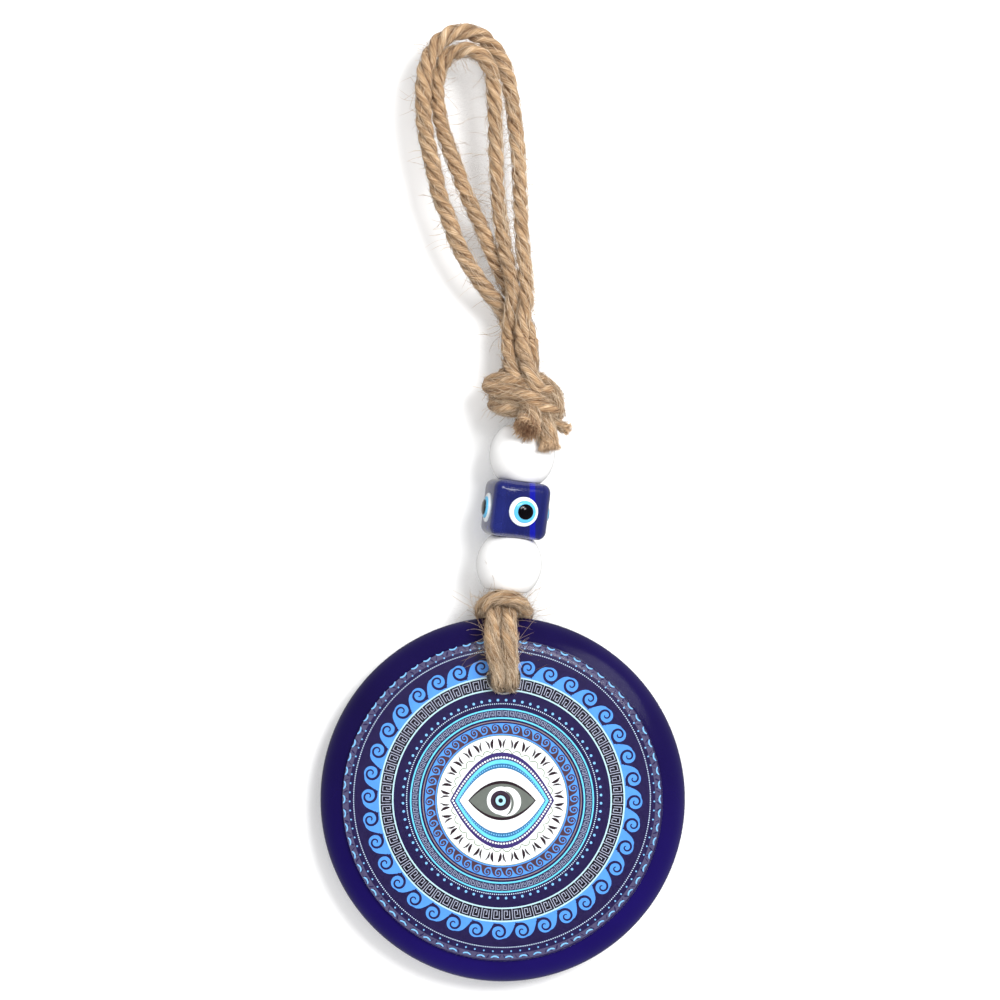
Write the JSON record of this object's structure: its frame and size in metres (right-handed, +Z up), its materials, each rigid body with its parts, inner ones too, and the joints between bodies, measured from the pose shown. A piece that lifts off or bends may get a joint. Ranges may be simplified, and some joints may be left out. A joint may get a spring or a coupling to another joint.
{
  "type": "evil eye ornament",
  "caption": "Hanging charm: a printed cobalt glass disc tied by a twine hitch below white beads, a square eye bead, a fat knot and a nested hanging loop.",
  "frame": {"origin": "the inside top of the hanging loop, where a nail or hook carries the ornament", "axes": "+Z up along the hanging ornament, -Y towards the front, +Y towards the wall, +X to the right seen from the front"},
  "size_m": [0.08, 0.0189, 0.2091],
  "materials": {
    "cobalt_glass": "polished deep cobalt blue glass, brighter where light passes its rim",
    "printed_film": "printed film with ring patterns in blues, white and grey on dark navy",
    "clear_resin": "clear high gloss resin",
    "white_glass": "opaque white glass, softly glossy",
    "eye_white_glass": "opaque white glass",
    "eye_blue_glass": "opaque light blue glass",
    "eye_black_glass": "opaque black glass, glossy",
    "jute_twine": "natural three-ply jute twine, hairy, frayed at the cut ends"
  },
  "bodies": {
    "hanging_loop": {"loop_outer": "jute_twine", "loop_inner": "jute_twine"},
    "upper_neck": {"neck_strand_front": "jute_twine", "neck_strand_left": "jute_twine", "neck_strand_back": "jute_twine", "neck_strand_right": "jute_twine"},
    "knot": {"knot": "jute_twine", "tail_left": "jute_twine", "tail_right": "jute_twine", "bead_twine_left": "jute_twine", "bead_twine_right": "jute_twine"},
    "upper_bead": {"upper_bead": "white_glass"},
    "eye_bead": {"cube_bead": "cobalt_glass", "eye_white_front": "eye_white_glass", "eye_white_right": "eye_white_glass", "eye_white_back": "eye_white_glass", "eye_white_left": "eye_white_glass", "eye_blue_front": "eye_blue_glass", "eye_blue_right": "eye_blue_glass", "eye_blue_back": "eye_blue_glass", "eye_blue_left": "eye_blue_glass", "eye_pupil_front": "eye_black_glass", "eye_pupil_right": "eye_black_glass", "eye_pupil_back": "eye_black_glass", "eye_pupil_left": "eye_black_glass"},
    "lower_bead": {"lower_bead": "white_glass"},
    "lower_neck": {"neck_twine_left": "jute_twine", "neck_twine_right": "jute_twine"},
    "disc": {"glass_disc": "cobalt_glass", "printed_layer": "printed_film", "clear_dome": "clear_resin", "hitch_front_left": "jute_twine", "hitch_front_right": "jute_twine", "hitch_back_left": "jute_twine", "hitch_back_right": "jute_twine", "hitch_bight": "jute_twine"}
  },
  "joints": [
    {"name": "neck_sway", "type": "hinge", "parent": "hanging_loop", "child": "upper_neck", "pos_m": [0.0113, 0, -0.0577], "axis": [0, 1, 0], "range_deg": [-35, 35], "deforming": ["neck_strand_front", "neck_strand_left", "neck_strand_back", "neck_strand_right"]},
    {"name": "knot_tilt", "type": "hinge", "parent": "upper_neck", "child": "knot", "pos_m": [0.0118, 0, -0.0671], "axis": [1, 0, 0], "range_deg": [-35, 35]},
    {"name": "upper_bead_spin", "type": "hinge", "parent": "knot", "child": "upper_bead", "pos_m": [0.01205, 0, -0.08667], "axis": [0.1184, 0, 0.993], "continuous": true},
    {"name": "eye_bead_spin", "type": "hinge", "parent": "knot", "child": "eye_bead", "pos_m": [0.01063, 0, -0.09864], "axis": [0.1184, 0, 0.993], "continuous": true},
    {"name": "lower_bead_spin", "type": "hinge", "parent": "knot", "child": "lower_bead", "pos_m": [0.0092, 0, -0.1106], "axis": [0.1184, 0, 0.993], "continuous": true},
    {"name": "hitch_sway", "type": "hinge", "parent": "knot", "child": "lower_neck", "pos_m": [0.0085, 0, -0.117], "axis": [0, 1, 0], "range_deg": [-24, 24], "deforming": ["neck_twine_left", "neck_twine_right"]},
    {"name": "disc_tilt", "type": "hinge", "parent": "lower_neck", "child": "disc", "pos_m": [0.0084, -0.0002, -0.1176], "axis": [1, 0, 0], "range_deg": [-6, 14]}
  ]
}
